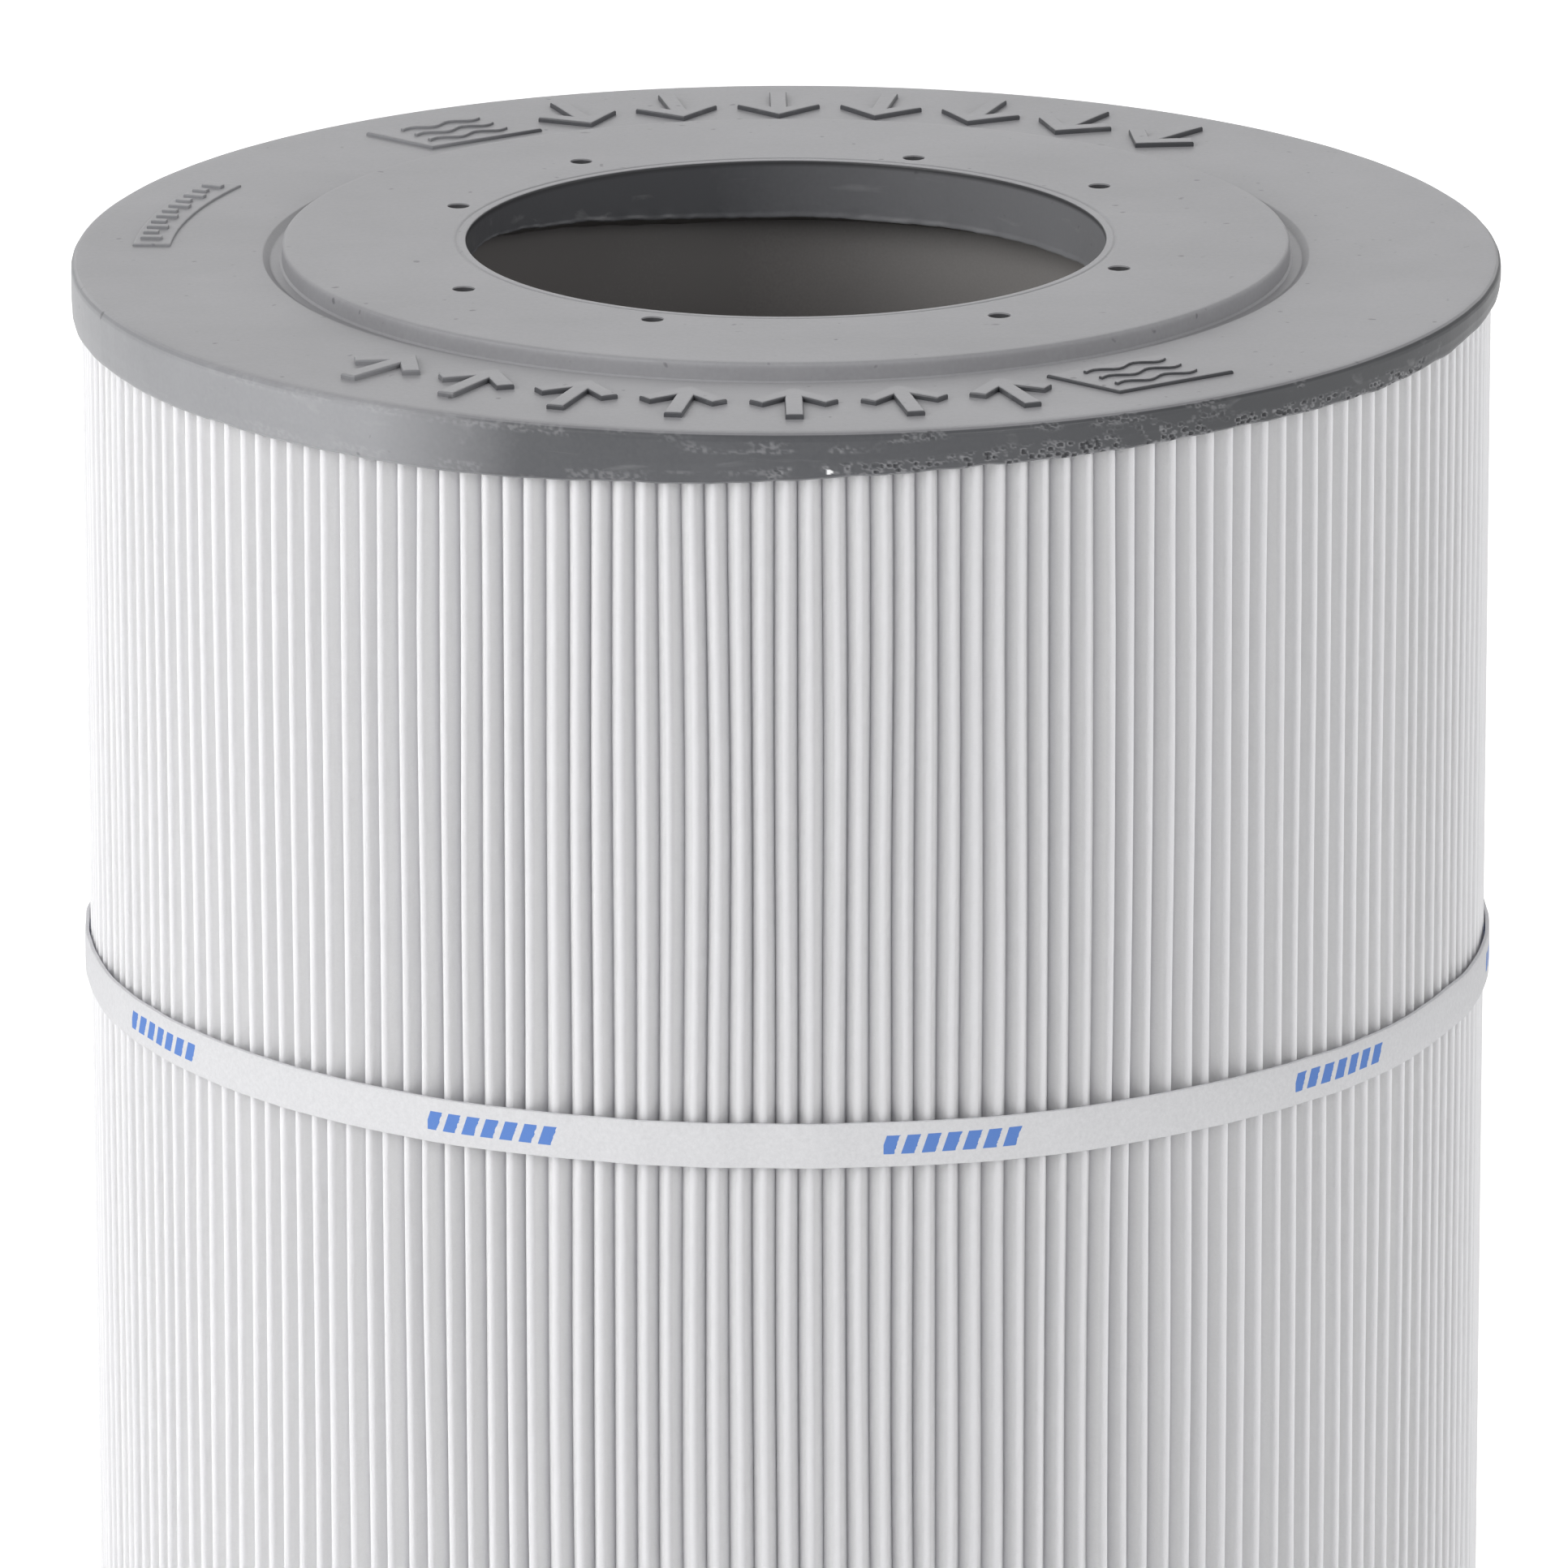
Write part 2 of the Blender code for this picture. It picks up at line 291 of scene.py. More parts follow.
def mottle_group():
    """Blotches and fine grain in one value round 0.5, for the colour of cast and moulded plastics."""
    nodes, given, result = new_group(
        "mottle",
        [("Place", "Vector", None), ("Blotch Scale", "Float", 20.0), ("Grain Scale", "Float", 900.0),
         ("Grain Share", "Float", 0.3)],
        [("Value", "Float")],
    )
    blotch = nodes.add(
        "ShaderNodeTexNoise",
        {"Vector": given["Place"], "Scale": given["Blotch Scale"], "Detail": 4.0, "Roughness": 0.6},
    ).outputs["Fac"]
    grain = nodes.add(
        "ShaderNodeTexNoise",
        {"Vector": given["Place"], "Scale": given["Grain Scale"], "Detail": 2.0},
    ).outputs["Fac"]
    mixed = nodes.add(
        "ShaderNodeMix", {0: given["Grain Share"], 2: blotch, 3: grain}, data_type="FLOAT"
    ).outputs[0]
    nodes.feed(result["Value"], mixed)
    return nodes.tree


def add_group(nodes, tree, inputs):
    node = nodes.add("ShaderNodeGroup", node_tree=tree)
    for name, value in inputs.items():
        nodes.feed(node.inputs[name], value)
    return node.outputs


def urethane_material(mottle):
    """Cast grey urethane: a mould face painted light as top light, glossier sides painted dark as shade,
    and bubbles along the rim's foot.
    """
    made, nodes, shader, place = new_material("cast_urethane")
    patches = add_group(
        nodes, mottle, {"Place": place, "Blotch Scale": 26.0, "Grain Scale": 1300.0, "Grain Share": 0.3}
    )["Value"]
    at = nodes.add("ShaderNodeSeparateXYZ", {"Vector": place}).outputs
    normal = nodes.add("ShaderNodeNewGeometry").outputs["Normal"]
    faces_out = nodes.math("ABSOLUTE", nodes.add("ShaderNodeSeparateXYZ", {"Vector": normal}).outputs[2])
    flat = nodes.add("ShaderNodeCombineXYZ", {"X": at[0], "Y": at[1]}).outputs[0]
    from_axis = nodes.add("ShaderNodeVectorMath", {0: flat}, operation="LENGTH").outputs["Value"]
    on_top = nodes.math("MULTIPLY", nodes.math("GREATER_THAN", from_axis, PORT_RADIUS + 0.3 * MM),
                        nodes.math("LESS_THAN", from_axis, DISC_RADIUS + 4 * MM))
    mould_face = nodes.math("MAXIMUM", nodes.remap(faces_out, 0.6, 0.95), on_top)
    mottled = nodes.remap(patches, 0.35, 0.65)
    # painted shade: the sides get a dark copy of the urethane's grey
    side = nodes.mix(mottled, (0.078, 0.080, 0.087, 1), (0.098, 0.100, 0.108, 1))
    # painted shade: the sides are coloured darker towards +X
    side = nodes.mix(nodes.remap(at[0], 0.01, 0.07), side, (0.058, 0.060, 0.065, 1))
    # painted reflection: the sides are coloured lighter towards -X, standing in for the reflection of the
    # lamps on the left
    left_reflection_side = nodes.mix(mottled, (0.26, 0.262, 0.274, 1), (0.295, 0.297, 0.31, 1))
    drift = nodes.math("MULTIPLY_ADD", patches, 0.02, nodes.math("SUBTRACT", at[0], 0.01))
    side = nodes.mix(nodes.remap(drift, -0.042, -0.062), side, left_reflection_side)
    # painted light: the port's wall is coloured lighter towards +X, where light from the left falls on it
    wall = nodes.mix(
        nodes.remap(drift, -0.012, 0.045), (0.083, 0.085, 0.092, 1), (0.25, 0.252, 0.264, 1)
    )
    side = nodes.mix(nodes.math("LESS_THAN", from_axis, PORT_RADIUS + 0.5 * MM), side, wall)
    # painted top light: the mould face, with the disc and its side wall, gets a light copy of the same grey
    face = nodes.mix(mottled, (0.32, 0.318, 0.332, 1), (0.37, 0.368, 0.384, 1))
    colour = nodes.mix(mould_face, side, face)

    # pale smears where the resin was wiped, and fine dark specks
    stretched = nodes.add(
        "ShaderNodeMapping", {"Vector": place, "Rotation": (0, 0, 0.5), "Scale": (1, 5, 9)}
    ).outputs[0]
    smear = nodes.add(
        "ShaderNodeTexNoise", {"Vector": stretched, "Scale": 38.0, "Detail": 5.0, "Distortion": 0.6}
    ).outputs["Fac"]
    colour = nodes.mix(nodes.remap(smear, 0.62, 0.8, 0, 0.3), colour, (0.40, 0.40, 0.41, 1))
    speck = nodes.add("ShaderNodeTexNoise", {"Vector": place, "Scale": 420.0, "Detail": 1.0}).outputs["Fac"]
    colour = nodes.mix(nodes.remap(speck, 0.74, 0.8, 0, 0.5), colour, (0.07, 0.07, 0.075, 1))
    # torn skin round the bubbles, scuffs and one white crumb; where the value is below zero, painted shade
    # darkens the bubble pits
    pale = nodes.add("ShaderNodeAttribute", attribute_name="pale").outputs["Fac"]
    colour = nodes.mix(nodes.remap(pale, 0, 1), colour, (0.42, 0.42, 0.435, 1))
    colour = nodes.mix(nodes.remap(pale, 0, -1), colour, (0.05, 0.05, 0.055, 1))
    colour = nodes.mix(nodes.remap(pale, 1.2, 1.8), colour, (0.9, 0.9, 0.9, 1))

    # below the film the port's wall is the core's dark plastic
    bare = nodes.math("GREATER_THAN", from_axis, PORT_RADIUS + 0.7 * FILM_STEP)
    bare = nodes.math("MULTIPLY", bare, nodes.math("LESS_THAN", from_axis, CORE_RADIUS - CORE_WALL))
    from_middle = nodes.math("ABSOLUTE", nodes.math("SUBTRACT", at[2], LENGTH / 2))
    bare = nodes.math("MULTIPLY", bare, nodes.math("LESS_THAN", from_middle, LENGTH / 2 - 2 * MM))
    colour = nodes.mix(bare, colour, (0.19, 0.182, 0.178, 1))

    # painted shade: the inside of the pin holes and the lip just below the port's edge are coloured dark
    hole = nodes.math("MULTIPLY", nodes.math("GREATER_THAN", from_axis, 0.0535),
                      nodes.math("LESS_THAN", from_axis, 0.064))
    sunk = nodes.math("MULTIPLY", nodes.math("LESS_THAN", from_middle, LENGTH / 2 - 0.25 * MM),
                      nodes.math("GREATER_THAN", from_middle, LENGTH / 2 - 5 * MM))
    lip = nodes.math("MULTIPLY", nodes.math("LESS_THAN", from_axis, PORT_RADIUS + 0.12 * MM),
                     nodes.remap(from_middle, LENGTH / 2 - 1.1 * MM, LENGTH / 2 - 0.5 * MM))
    hole_and_lip_shade = nodes.math("MAXIMUM", nodes.math("MULTIPLY", hole, sunk), lip)
    colour = nodes.mix(nodes.math("MULTIPLY", hole_and_lip_shade, 0.85), colour, (0.035, 0.035, 0.038, 1))
    nodes.feed(shader.inputs["Base Color"], colour)
    nodes.feed(shader.inputs["Roughness"], nodes.remap(mould_face, 0, 1, 0.36, 0.52))
    shader.inputs["Specular IOR Level"].default_value = 0.4
    nodes.feed(shader.inputs["Coat Weight"], nodes.remap(mould_face, 0, 1, 0.12, 0))
    shader.inputs["Coat Roughness"].default_value = 0.25

    fine = nodes.add("ShaderNodeTexNoise", {"Vector": place, "Scale": 650.0, "Detail": 3.0}).outputs["Fac"]
    broad = nodes.add("ShaderNodeTexNoise", {"Vector": place, "Scale": 90.0, "Detail": 2.0}).outputs["Fac"]
    height = nodes.math("ADD", nodes.math("MULTIPLY", fine, 0.25), nodes.math("MULTIPLY", broad, 0.6))
    bump = nodes.add(
        "ShaderNodeBump", {"Height": height, "Strength": 0.5, "Distance": 0.00025}
    ).outputs[0]
    nodes.feed(shader.inputs["Normal"], bump)
    return made


def media_material():
    made, nodes, shader, place = new_material("pleated_polyester")
    fibres = nodes.add(
        "ShaderNodeTexNoise", {"Vector": place, "Scale": 2200.0, "Detail": 3.0, "Roughness": 0.7}
    ).outputs["Fac"]
    at = nodes.add("ShaderNodeSeparateXYZ", {"Vector": place}).outputs
    outward = nodes.add("ShaderNodeCombineXYZ", {"X": at[0], "Y": at[1]}).outputs[0]
    from_axis = nodes.add("ShaderNodeVectorMath", {0: outward}, operation="LENGTH").outputs["Value"]
    # painted light: the tips of the folds are coloured duller and the flanks just below them whiter, to
    # even out the shade between the folds; deeper down the valleys are coloured darker again as painted
    # shade
    painted_flank_light = nodes.remap(from_axis, MEDIA_RADIUS - 0.3 * MM, MEDIA_RADIUS - 1.0 * MM)
    colour = nodes.mix(painted_flank_light, (0.775, 0.77, 0.81, 1), (0.93, 0.925, 0.965, 1))
    deep = nodes.remap(from_axis, MEDIA_RADIUS - 2.2 * MM, MEDIA_RADIUS - 3.0 * MM)
    colour = nodes.mix(deep, colour, (0.84, 0.835, 0.87, 1))
    grey = nodes.remap(fibres, 0.3, 0.7, 0.06, 0)
    colour = nodes.mix(grey, colour, (0.4, 0.4, 0.42, 1))
    nodes.feed(shader.inputs["Base Color"], colour)
    shader.inputs["Roughness"].default_value = 0.85
    shader.inputs["Subsurface Weight"].default_value = 1.0
    shader.inputs["Subsurface Radius"].default_value = (1.0, 1.0, 1.0)
    shader.inputs["Subsurface Scale"].default_value = 0.004

    # light scatters inside the felt, so a fold's two sides look more alike than their slopes would
    outward = nodes.add("ShaderNodeVectorMath", {0: outward}, operation="NORMALIZE").outputs[0]
    normal = nodes.add("ShaderNodeNewGeometry").outputs["Normal"]
    facing = nodes.add("ShaderNodeVectorMath", {0: outward, 1: normal}, operation="DOT_PRODUCT")
    side = nodes.math("MULTIPLY", nodes.math("SIGN", facing.outputs["Value"]), 2.0)
    outward = nodes.add(
        "ShaderNodeVectorMath", {0: outward, "Scale": side}, operation="SCALE"
    ).outputs[0]
    blended = nodes.add("ShaderNodeVectorMath", {0: normal, 1: outward}, operation="ADD").outputs[0]
    blended = nodes.add("ShaderNodeVectorMath", {0: blended}, operation="NORMALIZE").outputs[0]
    bump = nodes.add(
        "ShaderNodeBump",
        {"Height": fibres, "Strength": 0.3, "Distance": 0.00008, "Normal": blended},
    ).outputs[0]
    nodes.feed(shader.inputs["Normal"], bump)
    return made


def strap_material():
    made, nodes, shader, place = new_material("printed_strap")
    fibres = nodes.add(
        "ShaderNodeTexNoise", {"Vector": place, "Scale": 1500.0, "Detail": 3.0, "Roughness": 0.7}
    ).outputs["Fac"]
    along = nodes.add("ShaderNodeUVMap", uv_map="strap").outputs["UV"]
    split = nodes.add("ShaderNodeSeparateXYZ", {"Vector": along}).outputs
    paper = nodes.mix(nodes.remap(fibres, 0.3, 0.7), (0.605, 0.605, 0.62, 1), (0.675, 0.675, 0.69, 1))
    # u is the length along the strap and v the height from its middle, both in metres
    repeat = nodes.math("MODULO", split[0], PRINT_PITCH)
    slanted = nodes.math("SUBTRACT", repeat, nodes.math("MULTIPLY", split[1], 0.35))
    bar = nodes.math("MODULO", slanted, 0.0032)
    edge = nodes.math("MULTIPLY", nodes.math("SUBTRACT", fibres, 0.5), 0.0006)
    in_bar = nodes.math("LESS_THAN", nodes.math("ADD", bar, edge), 0.0021)
    in_mark = nodes.math("MULTIPLY", nodes.math("LESS_THAN", slanted, 0.0224),
                         nodes.math("GREATER_THAN", slanted, 0.0))
    in_height = nodes.math("LESS_THAN", nodes.math("ABSOLUTE", split[1]), 0.0015)
    ink = nodes.math("MULTIPLY", nodes.math("MULTIPLY", in_bar, in_mark), in_height)
    colour = nodes.mix(nodes.math("MULTIPLY", ink, 0.9), paper, (0.04, 0.17, 0.55, 1))
    nodes.feed(shader.inputs["Base Color"], colour)
    shader.inputs["Roughness"].default_value = 0.8
    bump = nodes.add(
        "ShaderNodeBump", {"Height": fibres, "Strength": 0.4, "Distance": 0.0001}
    ).outputs[0]
    nodes.feed(shader.inputs["Normal"], bump)
    return made


def core_material(mottle):
    made, nodes, shader, place = new_material("moulded_core")
    patches = add_group(
        nodes, mottle, {"Place": place, "Blotch Scale": 15.0, "Grain Scale": 2500.0, "Grain Share": 0.4}
    )["Value"]
    # painted light: the core is coloured lighter towards +X, where light from the left falls inside the
    # port, with blotches mixed in
    painted_light_across = nodes.remap(nodes.add("ShaderNodeSeparateXYZ", {"Vector": place}).outputs[0], -0.01, 0.045)
    shade = nodes.math("MULTIPLY_ADD", nodes.math("SUBTRACT", patches, 0.5), 0.6, painted_light_across, clamp=True)
    colour = nodes.mix(shade, (0.125, 0.118, 0.115, 1), (0.29, 0.278, 0.27, 1))
    nodes.feed(shader.inputs["Base Color"], colour)
    shader.inputs["Roughness"].default_value = 0.5
    return made


def hot_melt_material():
    made, nodes, shader, place = new_material("hot_melt")
    cloud = nodes.add("ShaderNodeTexNoise", {"Vector": place, "Scale": 80.0}).outputs["Fac"]
    colour = nodes.mix(cloud, (0.80, 0.76, 0.66, 1), (0.70, 0.64, 0.50, 1))
    nodes.feed(shader.inputs["Base Color"], colour)
    shader.inputs["Roughness"].default_value = 0.3
    return made


# ---------------------------------------------------------------- end caps


def cap_outline():
    """Section of a cap: 0 is the raised disc's face, and the cartridge lies below it."""
    groove_floor = -DISC_STEP - GROOVE_DEPTH
    lip_radius = DISC_RADIUS + GROOVE_WIDTH
    potting = -CAP_DEPTH + POTTING_DEPTH
    collar_outer = CORE_RADIUS - CORE_WALL + 0.3 * MM
    outline = [(FLARE_RADIUS, -CAP_DEPTH + 0.15 * MM)]
    outline += [(PORT_RADIUS + FILM_STEP, -FILM_ROW - 0.05 * MM)]
    outline += [(PORT_RADIUS - 0.05 * MM, -FILM_ROW), (PORT_RADIUS - 0.1 * MM, -FILM_ROW + 0.2 * MM)]
    outline += [(PORT_RADIUS, -FILM_ROW + k * MM) for k in (0.8, 2.0, 3.5, 5.5)]
    outline += arc(PORT_RADIUS + PORT_EDGE, -PORT_EDGE, PORT_EDGE, 180, 90, 4)
    outline += [(r * MM, 0) for r in (52.0,)]
    outline += [(52.2 * MM, -0.14 * MM), (52.4 * MM, -0.14 * MM), (52.6 * MM, 0)]
    outline += [(r * MM, 0) for r in (55, 62, 70, 76)]
    outline += arc(DISC_RADIUS - DISC_EDGE, -DISC_EDGE, DISC_EDGE, 90, 0, 4)
    outline += [(DISC_RADIUS + 0.05 * MM, groove_floor + 0.3 * MM)]
    outline += [(DISC_RADIUS + 0.4 * MM, groove_floor), (lip_radius - 1.2 * MM, groove_floor)]
    outline += [(lip_radius - 0.5 * MM, -DISC_STEP - 0.35 * MM), (lip_radius, -DISC_STEP)]
    outline += [(r * MM, -DISC_STEP) for r in (84.5, 90, 97, 103, 107)]
    outline += arc(CAP_RADIUS - SHOULDER, -DISC_STEP - SHOULDER, SHOULDER, 90, 0, 4)
    outline += [(CAP_RADIUS, z * MM) for z in (-5, -6.5, -8)] + [(CAP_RADIUS - 0.08 * MM, -9.4 * MM)]
    outline += arc(CAP_RADIUS - 0.15 * MM - RIM_FOOT, -CAP_DEPTH + RIM_FOOT, RIM_FOOT, 0, -150, 5)
    outline += [(MEDIA_RADIUS - 0.4 * MM, potting), (100 * MM, potting), (80 * MM, potting)]
    outline += [(CORE_RADIUS + 0.5 * MM, potting), (CORE_RADIUS - 0.2 * MM, potting - 0.3 * MM)]
    outline += [(collar_outer, -CAP_DEPTH + 0.35 * MM)]
    return outline


def from_front(angle):
    """The angle in degrees, -180 to 180, from the front towards +X."""
    return (math.degrees(angle) + 90 + 180) % 360 - 180


def reach_at(table, angle):
    """The table's value at this angle round the axis, in metres, eased from entry to entry."""
    turn = from_front(angle)
    for (start, here), (end, there) in zip(table, table[1:]):
        if turn <= end:
            return (here + (there - here) * ease((turn - start) / (end - start))) * MM
    return table[-1][1] * MM


def cast_unevenness(point):
    """The resin's wavy edges: where its film ends in the port, and how far the rim hangs down."""
    radius = math.hypot(point.x, point.y)
    angle = math.atan2(point.y, point.x)
    shift = Vector((0, 0, 0))
    if radius < PORT_RADIUS + 2 * FILM_STEP and -PORT_EDGE > point.z > -FILM_ROW - 0.1 * MM:
        reach = reach_at(FILM_REACH, angle)
        reach += (0.12 * wander(angle, 9, 1.3) + 0.1 * wander(angle, 60, 5.1)) * MM
        shift.z = (point.z + PORT_EDGE) * ((reach - PORT_EDGE) / (FILM_ROW - PORT_EDGE) - 1)
        near_edge = ease((-point.z - FILM_ROW + 1.5 * MM) / (1.5 * MM))
        shift += polar(near_edge * 0.1 * MM * wander(angle, 40, 8.8), angle)
    elif radius < FLARE_RADIUS + 0.05 * MM and point.z < -CAP_DEPTH + 0.2 * MM:
        shift.z = CAP_DEPTH - 0.15 * MM - max(reach_at(FILM_REACH, angle) + 2.3 * MM, 7.2 * MM)
        shift.z = max(shift.z, 0)
    elif radius > MEDIA_RADIUS - 0.2 * MM:
        wall_top = -DISC_STEP - SHOULDER
        wall_foot = -CAP_DEPTH + 1.2 * MM
        reach = reach_at(RIM_REACH, angle)
        reach += (0.2 * wander(angle, 9, 2.2) + 0.12 * wander(angle, 60, 4.4)) * MM
        share = min(max((wall_top - point.z) / (wall_top - wall_foot), 0), 1)
        shift.z = share * (CAP_DEPTH - DISC_STEP - min(reach, CAP_DEPTH - DISC_STEP))
        shift += polar(-0.06 * MM * abs(wander(angle, 30, 7.7)), angle)
    elif radius > CORE_RADIUS and point.z < -CAP_DEPTH + POTTING_DEPTH + 0.1 * MM:
        lifted = DISC_STEP + reach_at(RIM_REACH, angle) - POTTING_DEPTH
        shift.z = -max(lifted, LEAST_POTTING) - point.z
    return shift


def between(value, low, high, fade):
    """1 inside low to high, easing to 0 over the fade on both sides."""
    return ease((value - low) / fade + 1) * ease((high - value) / fade + 1)


def scar_at(turn, drop, left):
    """How far a point of the rim stands out, in mm, and how pale it is; below zero in the bubble pits,
    which are painted dark as shade.

    turn is in degrees from the front, drop is mm below the ring and left is mm above the rim's foot.
    """
    along = math.radians(turn) * CAP_RADIUS / MM
    apart = noise.voronoi(Vector((along / 1.15, drop / 0.95, 0)))[0][0]
    grain = noise.noise(Vector((along / 0.8, drop / 0.6, 3)))
    patch = noise.noise(Vector((along / 7, drop / 3, 8)))
    froth = between(turn, 1, 58, 5) * between(left, 0.2, 1.9, 0.9) * ease(patch * 3 + 0.9)
    froth += 0.8 * between(turn, 20, 34, 6) * between(left, 1, 3.2, 1) * ease(patch * 3 + 0.5)
    froth += 0.7 * between(turn, 6, 44, 5) * between(drop, 0.7, 1.5, 0.6) * ease(patch * 4)
    pit = min(froth, 1) * ease((0.36 - apart) / 0.14)
    skin = min(froth, 1) * max(0, 1 - abs(apart - 0.46) / 0.13)
    scuff = 0.9 * between(turn, -6, 5, 3) * between(drop, 1.6, 2.8, 0.6)
    scuff += 0.5 * between(turn, -44, -2, 8) * between(left, 0.9, 1.9, 0.5)
    scuff += 0.5 * between(turn, -46, -12, 8) * between(drop, 0.3, 1.3, 0.5)
    rough = scuff * ease((grain + 0.1) * 3) * ease(patch * 3 + 0.7)
    stand = 0.07 * skin - 0.28 * pit + 0.06 * rough
    # a pit lowers the value, so that the material paints it dark as shade
    pale = 0.45 * skin + 0.45 * rough - 0.7 * pit
    if math.hypot(along - 6.5, (left - 1.2) * 1.2) < 0.5:
        stand, pale = 0.12, 2.0
    return stand, pale


def scar_rim(piece):
    """Splits the rim's front into small faces and works its bubbles and scuffs into them."""
    facet = 2 * math.pi / CAP_SEGMENTS
    for polygon in piece.data.polygons:
        x, y, z = polygon.center
        polygon.select = (
            math.hypot(x, y) > CAP_RADIUS - 0.6 * MM
            and z < -DISC_STEP - 0.3 * MM
            and SCARRED[0] < from_front(math.atan2(y, x)) < SCARRED[1]
        )
    only(piece)
    bpy.ops.object.mode_set(mode="EDIT")
    bpy.ops.mesh.select_mode(type="FACE")
    bpy.ops.mesh.subdivide(number_cuts=4)
    bpy.ops.object.mode_set(mode="OBJECT")
    paleness = piece.data.attributes.new("pale", "FLOAT", "POINT")
    for vertex in piece.data.vertices:
        x, y, z = vertex.co
        radius, angle = math.hypot(x, y), math.atan2(y, x)
        turn = from_front(angle)
        if radius < CAP_RADIUS - 0.8 * MM or not SCARRED[0] < turn < SCARRED[1]:
            continue
        # a point on the middle of a flat facet moves out onto the round
        off_middle = angle % facet - facet / 2
        radius *= math.cos(off_middle) / math.cos(facet / 2)
        drop = -z / MM - DISC_STEP / MM
        stand, pale = scar_at(turn, drop, reach_at(RIM_REACH, angle) / MM - drop)
        paleness.data[vertex.index].value = pale
        radius = min(radius + stand * MM, CAP_RADIUS)
        vertex.co = polar(radius, angle, z)
    piece.data.update()


def raised_shape(outline, top, bevel, foot=-1.0 * MM):
    """A shape standing on the ring: a circle's corners moved to an outline, extruded and bevelled."""
    deselect_all()
    bpy.ops.mesh.primitive_circle_add(vertices=len(outline), radius=1, fill_type="NGON")
    piece = bpy.context.object
    for vertex, (x, y) in zip(piece.data.vertices, outline):
        vertex.co = (x, y, foot)
    bpy.ops.object.mode_set(mode="EDIT")
    bpy.ops.mesh.select_mode(type="FACE")
    bpy.ops.mesh.select_all(action="SELECT")
    bpy.ops.mesh.extrude_region_move(TRANSFORM_OT_translate={"value": (0, 0, top - foot)})
    bpy.ops.mesh.bevel(offset=bevel, segments=2, affect="EDGES")
    bpy.ops.object.mode_set(mode="OBJECT")
    face_outwards(piece)
    return piece


def flow_arrow():
    """An open-headed arrow 15 mm long that points along -Y, for water flowing inwards."""
    stroke, half, wing = 1.4 * MM, 8.0 * MM, 6.8 * MM
    slant = stroke * 2 * math.sqrt(2)
    right = [
        (stroke, half),
        (stroke, -half + slant + stroke),
        (wing - slant / 2, -half + slant / 2 + wing),
        (wing, -half + wing),
    ]
    outline = right + [(0, -half)] + [(-x, y) for x, y in reversed(right)]
    return raised_shape(outline, 0.85 * MM, 0.3 * MM)


def wave_line(middle):
    """One wavy ridge, 15 mm long, of the three on each pad."""
    steps = 16
    upper = []
    for step in range(steps + 1):
        x = (step / steps - 0.5) * 15 * MM
        upper.append((x, middle + 0.8 * MM * math.sin(x / (7.5 * MM) * 2 * math.pi)))
    lower = [(x, y - 0.9 * MM) for x, y in reversed(upper)]
    return raised_shape(upper + lower, 1.05 * MM, 0.2 * MM, foot=0.2 * MM)


def arc_plate(width, inner, outer, top, bevel, foot=-1.0 * MM):
    """A plate bent along the ring, centred on +Y, of this angular width in degrees."""
    steps = max(2, int(width / 2))
    turns = [math.radians(90 + width * (step / steps - 0.5)) for step in range(steps + 1)]
    outline = [polar(outer, turn).xy for turn in turns]
    outline += [polar(inner, turn).xy for turn in reversed(turns)]
    return raised_shape(outline, top, bevel, foot)


def placed(piece, radius, degrees):
    """Moves a mark out to this radius on +Y, then turns it round the axis to this angle."""
    angle = math.radians(degrees - 90)
    piece.matrix_world = (
        Matrix.Rotation(angle, 4, "Z") @ Matrix.Translation((0, radius, -DISC_STEP))
    )
    settle(piece)
    return piece


def copy_of(piece):
    made = piece.copy()
    made.data = piece.data.copy()
    bpy.context.scene.collection.objects.link(made)
    return made


def crowned(base, tops):
    """Adds raised details to a mark and splits its faces into triangles."""
    for top in tops:
        cut(base, top, "UNION")
    only(base)
    bpy.ops.object.mode_set(mode="EDIT")
    bpy.ops.mesh.select_all(action="SELECT")
    bpy.ops.mesh.quads_convert_to_tris()
    bpy.ops.object.mode_set(mode="OBJECT")
    return base


def ring_marks():
    """All the marks on the ring: arrows, two pads with waves, and a plate with ticks."""
    arrow = flow_arrow()
    pad_outline = [(-12.5 * MM, 7.2 * MM), (-9 * MM, -7.2 * MM), (12.5 * MM, -7.2 * MM), (9 * MM, 7.2 * MM)]
    pad = raised_shape(pad_outline, 0.6 * MM, 0.3 * MM)
    crowned(pad, [wave_line(middle * MM) for middle in (4.6, 0.5, -3.6)])
    marks = []
    for half_turn in (0, 180):
        for k in range(7):
            marks.append(placed(copy_of(arrow), 97 * MM, 111 - 10.15 * k + half_turn))
        marks.append(placed(copy_of(pad), 96 * MM, 124.5 + half_turn))
    ticks = []
    for k in range(11):
        reach = (99.6, 100.6)[k % 2] * MM
        tick = arc_plate(0.8, reach, 103 * MM, 0.9 * MM, 0.12 * MM, foot=0.1 * MM)
        tick.matrix_world = Matrix.Rotation(math.radians(2 * k - 10), 4, "Z")
        settle(tick)
        ticks.append(tick)
    plate = crowned(arc_plate(24, 98 * MM, 104 * MM, 0.4 * MM, 0.2 * MM), ticks)
    marks.append(placed(plate, 0, 166))
    for piece in (arrow, pad):
        bpy.data.objects.remove(piece, do_unlink=True)
    return join(marks, "marks")


def cut(piece, cutter, operation="DIFFERENCE"):
    modifier = piece.modifiers.new(operation.lower(), "BOOLEAN")
    modifier.operation = operation
    modifier.object = cutter
    apply_modifiers(piece)
    bpy.data.objects.remove(cutter, do_unlink=True)


def join(pieces, name):
    deselect_all()
    for piece in pieces:
        piece.select_set(True)
    bpy.context.view_layer.objects.active = pieces[0]
    bpy.ops.object.join()
    joined = bpy.context.object
    joined.name = joined.data.name = name
    return joined


